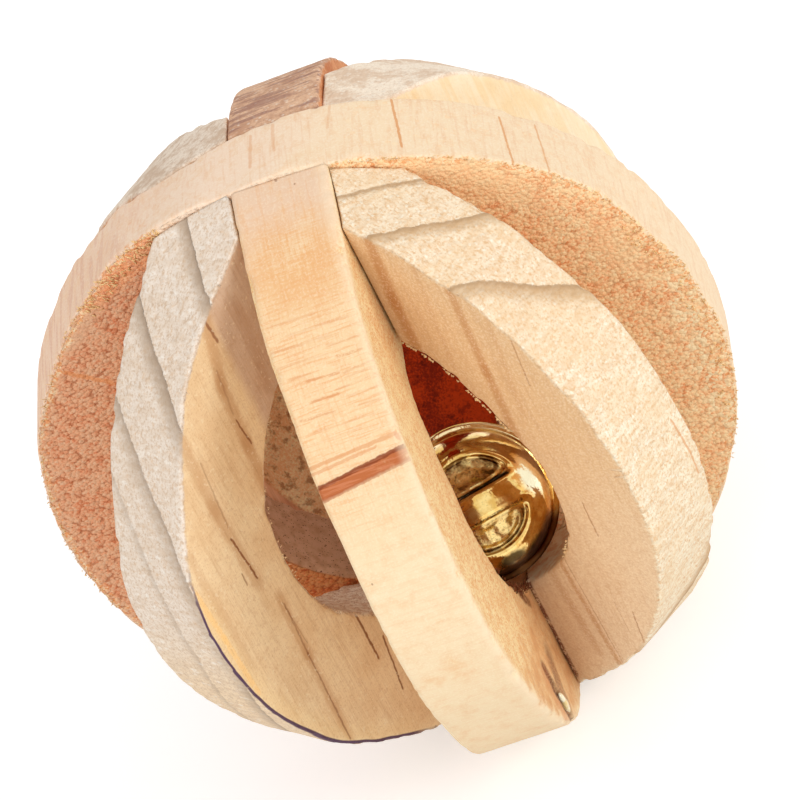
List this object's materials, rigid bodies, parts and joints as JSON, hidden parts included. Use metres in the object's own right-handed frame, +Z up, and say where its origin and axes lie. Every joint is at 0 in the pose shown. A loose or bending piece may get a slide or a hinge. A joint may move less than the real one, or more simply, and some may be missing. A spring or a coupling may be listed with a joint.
{
  "type": "wooden pet chew ball",
  "caption": "Open play ball of glued pine rings fanned round one axis, with a loose brass jingle bell caught inside, for small pets to roll and chew.",
  "frame": {"origin": "on the ground below the centre of the full ring, where its rim touches at the ball's foot", "axes": "+Z up along the axis that all the rings share, +X to the right along the full ring, -Y to the front half ring"},
  "size_m": [0.07, 0.0692, 0.07],
  "materials": {
    "pine": "bare pine, sanded on the rims, sawn on the faces",
    "pine_grey": "bare pine, rough sawn",
    "pine_red": "bare pine, rough sawn",
    "heartwood": "bare pine heartwood, rough sawn",
    "brass": "bright plated sheet",
    "steel": "plain",
    "glue": "set glue, glossy"
  },
  "bodies": {
    "root": {"full_ring": "pine", "front_half_ring": "pine", "front_left_half_ring": "pine_grey", "front_right_half_ring": "pine", "rear_half_ring": "heartwood", "rear_left_half_ring": "pine_red", "rear_right_half_ring": "pine_grey", "bell_bridge_shell": "brass", "bell_slot_shell": "brass", "bell_pellet": "steel", "glue_bead": "glue"}
  },
  "joints": []
}
